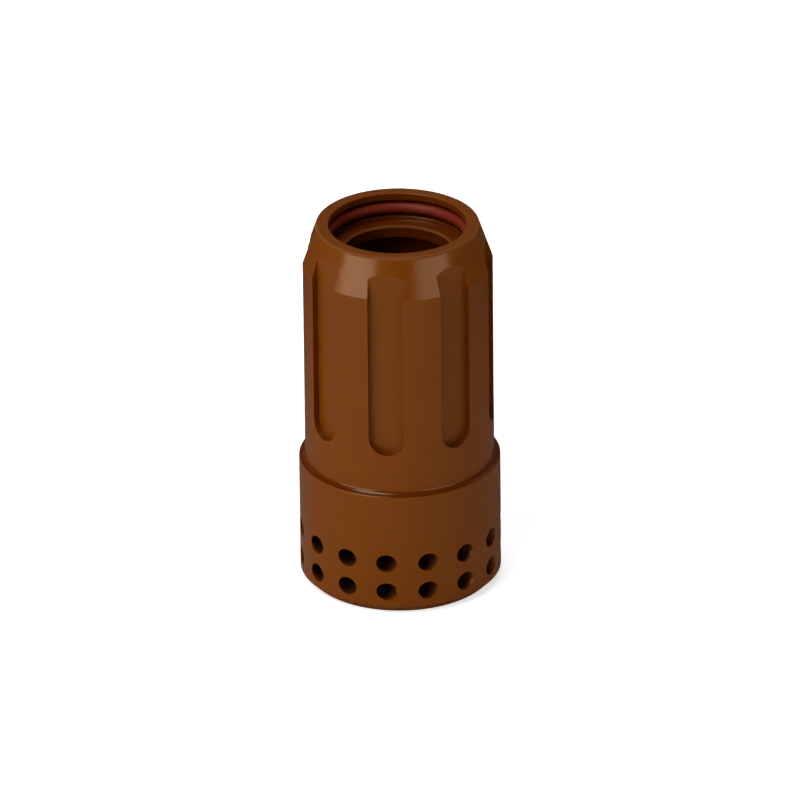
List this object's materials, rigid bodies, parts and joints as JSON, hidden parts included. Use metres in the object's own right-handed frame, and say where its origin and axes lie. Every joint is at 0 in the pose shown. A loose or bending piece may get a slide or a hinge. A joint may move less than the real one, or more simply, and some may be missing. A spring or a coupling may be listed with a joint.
{
  "type": "plasma swirl ring",
  "caption": "Fluted plastic sleeve with a wider perforated collar that swirls gas round a plasma torch electrode, with a rubber sealing ring inside its top bore.",
  "frame": {"origin": "on the ring's axis, in the plane of its foot", "axes": "+Z along the axis from the perforated collar to the sealed rim, -Y through the middle of one flute and of one hole in each row"},
  "size_m": [0.018, 0.018, 0.0344],
  "materials": {
    "body_plastic": "satin, turned",
    "seal_rubber": "smooth"
  },
  "bodies": {
    "root": {"ring_body": "body_plastic", "o_ring": "seal_rubber"}
  },
  "joints": []
}
